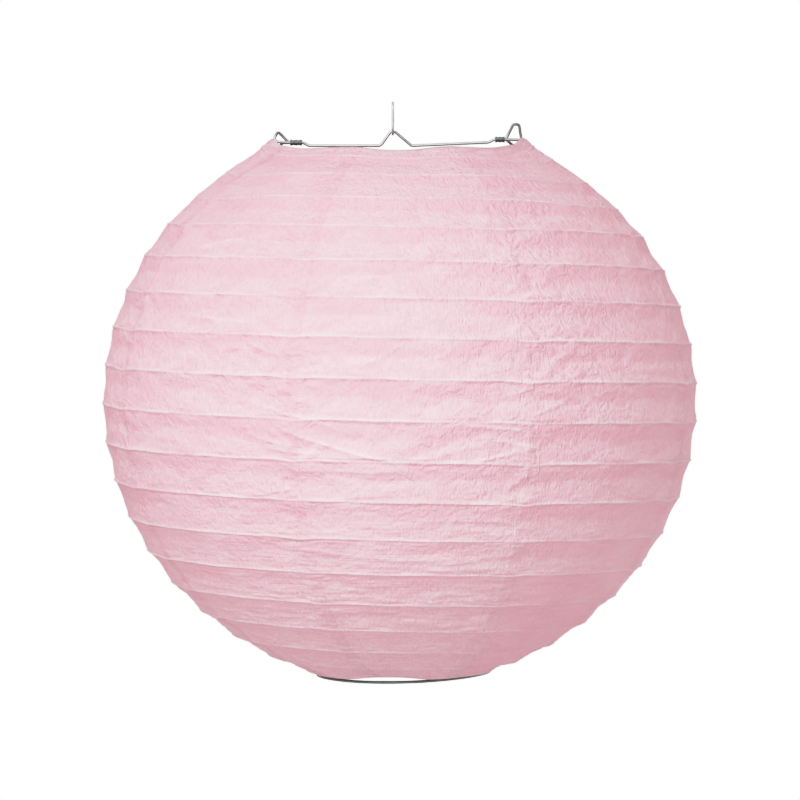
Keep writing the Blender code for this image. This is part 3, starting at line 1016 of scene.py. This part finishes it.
def leg_frame(material):
    """The expander's lower wire: down one side, over the foot ring and up the other side."""
    back = STRAND_STEP
    rise = Vector((0, 0, 1.6 * MM))
    feet = [Vector(shade_points(BOTTOM_ANGLE, side, 0.0)) + rise for side in (math.pi, 0.0)]
    corners = [
        (at(-41.4, LEFT_CRIMP_Z, back), 0),
        (at(-50.4, LEFT_CRIMP_Z, back), 1.6),
        (feet[0], 2.5),
        (feet[1], 2.5),
        (at(50.4, 106.5, back), 1.6),
        (at(47.2, 107.2, back), 2.0),
        (at(44.7, RIGHT_CRIMP_Z, back), 1.0),
        (at(40.2, RIGHT_CRIMP_Z, back), 0),
    ]
    piece = tube("expander_legs", bent(corners, 0.8 * MM), EXPANDER_RADIUS, sides=16)
    mark_darker_ends(piece, 0.8)
    return dress(piece, material, "steel_wire", "expander", "leg_frame")


LINK_BEND = 3.0 * MM
LINK_TOP = -2.5 * MM  # the middle of its upper bend
LINK_STRAIGHT = 7.3 * MM
LINK_WELD = -6.4 * MM
BEND_STEPS = 24
STRAIGHT_STEPS = 16


def hanging_link(material):
    """The upright link on the peak, with the lump of its weld half way up one side."""
    path = []
    for middle, first, way in ((LINK_TOP, 0.0, -1), (LINK_TOP - LINK_STRAIGHT, math.pi, 1)):
        for i in range(BEND_STEPS + 1):
            angle = first + math.pi * i / BEND_STEPS
            path.append((0, LINK_BEND * math.cos(angle), middle + LINK_BEND * math.sin(angle)))
        for i in range(1, STRAIGHT_STEPS):
            path.append((0, way * LINK_BEND, middle + way * LINK_STRAIGHT * i / STRAIGHT_STEPS))
    path = np.array(path)
    weld = np.hypot(path[:, 1] - LINK_BEND, path[:, 2] - LINK_WELD)
    swell = 1 + 0.16 * np.exp(-((weld / (0.8 * MM)) ** 2))
    piece = tube("hanging_link", path, LOOP_RADIUS, sides=16, closed=True, swell=swell)
    return dress(piece, material, "steel_wire", "hanger", "hanging_loop")


def oval(width, height, steps=14):
    """Y and z of an upright strip with round ends, anticlockwise, in millimetres."""
    bend = height / 2
    corners = []
    for side, first in ((width / 2 - bend, -math.pi / 2), (bend - width / 2, math.pi / 2)):
        for i in range(steps + 1):
            angle = first + math.pi * i / steps
            corners.append((side + bend * math.cos(angle), bend * math.sin(angle)))
    return np.array(corners)


# A sleeve, in millimetres
SLEEVE_HEIGHT = 2.30
SLEEVE_WIDTH = 5.30
SLEEVE_WALLS = 0.70  # both sides together
BORE_HEIGHT = 1.30
DENTS = (0.30, 0.70)  # shares of its length


def crimp_sleeve(name, ends, z, material, node):
    """A steel sleeve pinched twice on to the three strands, its ends flared a little."""
    outer = []
    inner = []
    for share in np.linspace(0, 1, 25):
        pinch = sum(math.exp(-(((share - dent) / 0.11) ** 2)) for dent in DENTS)
        flare = math.exp(-share / 0.05) + math.exp(-(1 - share) / 0.05)
        height = SLEEVE_HEIGHT - 0.42 * pinch + 0.10 * flare
        width = SLEEVE_WIDTH + 0.16 * pinch + 0.08 * flare
        x = ends[0] + (ends[1] - ends[0]) * share
        bore = oval(width - SLEEVE_WALLS, BORE_HEIGHT)
        outer.append([at(x, z + up, across) for across, up in oval(width, height)])
        inner.append([at(x, z + up, across) for across, up in bore])
    rings = np.array([[tuple(place) for place in ring] for ring in outer + inner[::-1]])
    piece = grid_mesh(name, rings, closed_across=True, closed_along=True)
    turn_out(piece.data)
    return dress(piece, material, "crimped_steel", "expander", node)


# Materials and pieces of the lantern

# The darker colour of the expander's wire outside its sleeves
DARKER_ENDS_STEEL = (0.13, 0.145, 0.145, 1)
paper = tissue()
bar_steel = wire_steel(
    "bright_wire", (0.25, 0.28, 0.275, 1), (0.38, 0.42, 0.41, 1), 0.46, darker_ends=DARKER_ENDS_STEEL
)
link_steel = wire_steel("link_wire", (0.44, 0.50, 0.49, 1), (0.56, 0.62, 0.61, 1), 0.62)
# The rings' steel is darker than the expander's wire; in part this is painted shade
ring_steel = wire_steel("ring_steel", (0.07, 0.09, 0.09, 1), (0.18, 0.21, 0.21, 1), 0.40)
rib_steel = wire_steel("rib_steel", (0.28, 0.28, 0.29, 1), (0.5, 0.5, 0.51, 1), 0.42)
crimp = wire_steel("crimped_steel", (0.04, 0.05, 0.05, 1), (0.15, 0.18, 0.18, 1), 0.55)

gores = [paper_gore(number, paper) for number in range(GORES)]
rib = rib_spiral(rib_steel)
for piece in (*gores, rib):
    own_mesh(piece)
ring_wire(
    "foot_ring",
    BOTTOM_ANGLE,
    ring_steel,
    "shade",
    "bottom_ring",
    weld_at=math.radians(70),
    radius=FOOT_RADIUS,
    droop=FOOT_DROOP,
)
head_ring = ring_wire(
    "head_ring", TOP_ANGLE, ring_steel, "top_hoop", "top_ring", weld_at=math.radians(110)
)
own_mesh(head_ring)
top_bar(bar_steel)
leg_frame(bar_steel)
hanging_link(link_steel)
crimp_sleeve("crimp_left", LEFT_CRIMP, LEFT_CRIMP_Z, crimp, "ferrule_left")
crimp_sleeve("crimp_right", RIGHT_CRIMP, RIGHT_CRIMP_Z, crimp, "ferrule_right")


# The stage

SHADE_MIDDLE = Vector((SHADE_AXIS_X, 0, CENTRE_Z))
FLOOR_SIZE = 14
FLOOR_PLACE = (0, -5, -0.60)
AIR_STRENGTH = 0.42
AIR_BELOW = (0.27, 0.27, 0.28, 1)
AIR_ABOVE = (1.05, 1.05, 1.05, 1)


def area_light(name, offset, size, power):
    """A round soft light this far from the shade's centre, turned to it."""
    light = bpy.data.lights.new(name, "AREA")
    light.shape = "DISK"
    light.size = size
    light.energy = power
    lamp = placed(name, light)
    lamp.location = SHADE_MIDDLE + Vector(offset)
    lamp.rotation_euler = (-Vector(offset)).to_track_quat("-Z", "Y").to_euler()


def studio_air():
    """Light from all round, paler from above; the camera sees it as plain white."""
    world = bpy.data.worlds.new("studio")
    bpy.context.scene.world = world
    world.use_nodes = True
    tree = world.node_tree
    seen = tree.nodes.new("ShaderNodeLightPath")
    backdrop = tree.nodes.new("ShaderNodeBackground")
    backdrop.inputs["Color"].default_value = (1, 1, 1, 1)
    backdrop.inputs["Strength"].default_value = 1.0
    air = tree.nodes["Background"]
    air.inputs["Strength"].default_value = AIR_STRENGTH
    way = tree.nodes.new("ShaderNodeTexCoord")
    parts = tree.nodes.new("ShaderNodeSeparateXYZ")
    height = tree.nodes.new("ShaderNodeMapRange")
    height.inputs["From Min"].default_value = -1
    tones = tree.nodes.new("ShaderNodeValToRGB")
    tones.color_ramp.elements[0].position = 0.40
    tones.color_ramp.elements[0].color = AIR_BELOW
    tones.color_ramp.elements[1].position = 0.75
    tones.color_ramp.elements[1].color = AIR_ABOVE
    either = tree.nodes.new("ShaderNodeMixShader")
    for output, target in (
        (way.outputs["Generated"], parts.inputs[0]),
        (parts.outputs["Z"], height.inputs["Value"]),
        (height.outputs[0], tones.inputs[0]),
        (tones.outputs[0], air.inputs["Color"]),
        (seen.outputs["Is Camera Ray"], either.inputs[0]),
        (air.outputs[0], either.inputs[1]),
        (backdrop.outputs[0], either.inputs[2]),
        (either.outputs[0], tree.nodes["World Output"].inputs["Surface"]),
    ):
        tree.links.new(output, target)


bpy.ops.mesh.primitive_plane_add(size=FLOOR_SIZE, location=FLOOR_PLACE)
floor = bpy.context.object
floor.name = "floor"
floor.data.materials.append(floor_white())

area_light("key", (-0.52, -1.6, 0.96), size=1.1, power=29.9)
area_light("side", (1.5, 1.1, 0.1), size=1.0, power=6.5)
studio_air()


# The camera

CAMERA_DISTANCE = 1.5
CAMERA_ELEVATION = math.radians(1.6)

camera_data = bpy.data.cameras.new("camera")
camera_data.lens = 160.4
camera_data.sensor_width = 36
camera = placed("camera", camera_data)
offset = Vector((0, -math.cos(CAMERA_ELEVATION), math.sin(CAMERA_ELEVATION))) * CAMERA_DISTANCE
camera.location = SHADE_MIDDLE + offset
camera.rotation_euler = (-offset).to_track_quat("-Z", "Y").to_euler()
bpy.context.scene.camera = camera

# A soft shoulder, as film has: the brightest places turn paler before they turn white.
view = bpy.context.scene.view_settings
view.view_transform = "Standard"
view.use_curve_mapping = True
SHOULDER = ((0.13, 0.2), (0.28, 0.42), (0.44, 0.645), (0.5, 0.70), (0.73, 0.855), (0.9, 0.915))
shoulder = view.curve_mapping.curves[3]
for point in SHOULDER:
    shoulder.points.new(*point)
view.curve_mapping.update()
